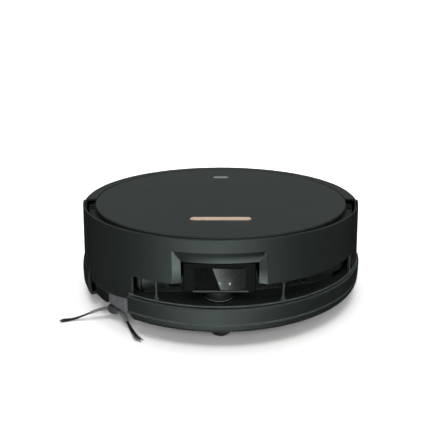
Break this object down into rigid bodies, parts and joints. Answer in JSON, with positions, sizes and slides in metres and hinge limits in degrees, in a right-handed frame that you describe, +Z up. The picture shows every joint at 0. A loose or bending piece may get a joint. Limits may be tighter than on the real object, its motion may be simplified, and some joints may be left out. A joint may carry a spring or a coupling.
{
  "type": "robot vacuum",
  "caption": "Low round floor-cleaning robot with sprung bumper, slot-mounted scanner, side brush, roller brush, roller mop and lift-off cover over the dustbin.",
  "frame": {"origin": "on the floor, under the centre of the round body", "axes": "+Z up, front of the robot towards -Y, +X to the right in a front view"},
  "size_m": [0.3427, 0.34, 0.1072],
  "materials": {
    "graphite_plastic": "satin moulded, very dark grey-green",
    "black_plastic": "fine texture",
    "gloss_black": "gloss window",
    "smoked_glass": "smoked, gloss",
    "rose_gold": "satin rose gold",
    "light_grey_plastic": "satin light grey",
    "grey_plastic": "satin mid grey",
    "tyre_rubber": "moulded rubber",
    "soft_rubber": "soft grey rubber",
    "bristle": "nylon bristle",
    "mop_fabric": "short pile microfibre",
    "steel": "plain steel",
    "contact_metal": "plated contact",
    "cell_wrap": "shrink wrap",
    "board": "circuit board",
    "clear_tank": "tinted tank",
    "filter_paper": "pleated paper",
    "lens_glass": "coated lens",
    "led_green": "light pipe",
    "bin_plastic": "tinted clear grey"
  },
  "bodies": {
    "chassis": {"base_plate": "black_plastic", "rear_shell": "graphite_plastic", "deck_frame": "black_plastic", "sensor_bay": "graphite_plastic", "sensor_housing": "graphite_plastic", "sensor_window": "smoked_glass", "camera_module": "lens_glass", "status_led": "led_green", "lidar_base": "graphite_plastic", "bay_windows": "gloss_black", "edge_sensor_window": "gloss_black", "side_brush_housing": "light_grey_plastic", "side_brush_cap": "light_grey_plastic", "side_brush_motor": "steel", "brush_tunnel": "black_plastic", "brush_guard": "black_plastic", "brush_motor": "steel", "caster_socket": "black_plastic", "battery_pack": "cell_wrap", "main_board": "board", "fan_housing": "grey_plastic", "clean_water_tank": "clear_tank", "dirty_water_tank": "clear_tank", "exhaust_grille": "black_plastic", "charge_contacts": "contact_metal", "cliff_sensors": "gloss_black", "base_screws": "steel", "key_switch": "grey_plastic", "left_wheel_cage": "black_plastic", "right_wheel_cage": "black_plastic", "bumper_buffers": "soft_rubber"},
    "fan": {"fan_impeller": "grey_plastic"},
    "bumper": {"bumper_shell": "graphite_plastic"},
    "cover": {"top_cover": "graphite_plastic", "cover_magnets": "steel", "status_lens": "grey_plastic"},
    "key": {"start_key": "rose_gold"},
    "scanner": {"lidar_head": "black_plastic"},
    "caster_yoke": {"caster_fork": "black_plastic", "caster_axle": "steel"},
    "caster_roller": {"caster_wheel": "tyre_rubber"},
    "left_suspension": {"left_wheel_arm": "grey_plastic"},
    "left_wheel": {"left_wheel_rim": "grey_plastic", "left_tyre": "tyre_rubber"},
    "right_suspension": {"right_wheel_arm": "grey_plastic"},
    "right_wheel": {"right_wheel_rim": "grey_plastic", "right_tyre": "tyre_rubber"},
    "side_brush": {"side_brush_hub": "grey_plastic", "side_brush_arms": "soft_rubber", "side_brush_bristles": "bristle"},
    "roller_brush": {"main_brush_core": "grey_plastic", "main_brush_fins": "soft_rubber"},
    "mop_module": {"mop_carrier": "black_plastic", "mop_scraper": "soft_rubber"},
    "mop_roller": {"mop_roller_core": "grey_plastic", "mop_sleeve": "mop_fabric"},
    "dustbin": {"dustbin_box": "bin_plastic", "dust_filter": "filter_paper"},
    "bin_lid": {"dustbin_lid": "bin_plastic"}
  },
  "joints": [
    {"name": "bumper_press", "type": "slide", "parent": "chassis", "child": "bumper", "axis": [0, 1, 0], "range_m": [0, 0.004], "stiffness_N_per_m": 900, "springref_m": -0.002},
    {"name": "cover_lift", "type": "slide", "parent": "chassis", "child": "cover", "axis": [0, 0, 1], "range_m": [0, 0.16]},
    {"name": "start_key_press", "type": "slide", "parent": "cover", "child": "key", "axis": [0, 0, -1], "range_m": [0, 0.001], "stiffness_N_per_m": 400, "springref_m": -0.001},
    {"name": "scanner_spin", "type": "hinge", "parent": "chassis", "child": "scanner", "pos_m": [-0.0015, -0.1435, 0.045], "axis": [0, 0, 1], "continuous": true},
    {"name": "fan_spin", "type": "hinge", "parent": "chassis", "child": "fan", "pos_m": [0, 0.092, 0.075], "axis": [0, 0, 1], "continuous": true},
    {"name": "caster_swivel", "type": "hinge", "parent": "chassis", "child": "caster_yoke", "pos_m": [0, -0.142, 0.03], "axis": [0, 0, 1], "continuous": true},
    {"name": "caster_roll", "type": "hinge", "parent": "caster_yoke", "child": "caster_roller", "pos_m": [0, -0.146, 0.013], "axis": [1, 0, 0], "continuous": true},
    {"name": "left_wheel_drop", "type": "hinge", "parent": "chassis", "child": "left_suspension", "pos_m": [-0.112, 0.054, 0.038], "axis": [1, 0, 0], "range_deg": [0, 25]},
    {"name": "left_wheel_spin", "type": "hinge", "parent": "left_suspension", "child": "left_wheel", "pos_m": [-0.112, 0.01, 0.035], "axis": [1, 0, 0], "continuous": true},
    {"name": "right_wheel_drop", "type": "hinge", "parent": "chassis", "child": "right_suspension", "pos_m": [0.112, 0.054, 0.038], "axis": [1, 0, 0], "range_deg": [0, 25]},
    {"name": "right_wheel_spin", "type": "hinge", "parent": "right_suspension", "child": "right_wheel", "pos_m": [0.112, 0.01, 0.035], "axis": [1, 0, 0], "continuous": true},
    {"name": "side_brush_spin", "type": "hinge", "parent": "chassis", "child": "side_brush", "pos_m": [-0.11102, -0.11102, 0.01], "axis": [0, 0, 1], "continuous": true},
    {"name": "roller_brush_spin", "type": "hinge", "parent": "chassis", "child": "roller_brush", "pos_m": [0, -0.034, 0.02], "axis": [1, 0, 0], "continuous": true},
    {"name": "mop_raise", "type": "slide", "parent": "chassis", "child": "mop_module", "axis": [0, 0, 1], "range_m": [0, 0.01]},
    {"name": "mop_roller_spin", "type": "hinge", "parent": "mop_module", "child": "mop_roller", "pos_m": [0, 0.092, 0.0214], "axis": [1, 0, 0], "continuous": true},
    {"name": "dustbin_lift", "type": "slide", "parent": "chassis", "child": "dustbin", "axis": [0, 0, 1], "range_m": [0, 0.08]},
    {"name": "bin_lid_hinge", "type": "hinge", "parent": "dustbin", "child": "bin_lid", "pos_m": [0, 0.0582, 0.0982], "axis": [-1, 0, 0], "range_deg": [0, 75]}
  ],
  "couplings": [
    {"joint": "dustbin_lift", "follows": "cover_lift", "ratio": 0.5},
    {"joint": "bin_lid_hinge", "follows": "cover_lift", "rad_per_m": 8.18}
  ]
}
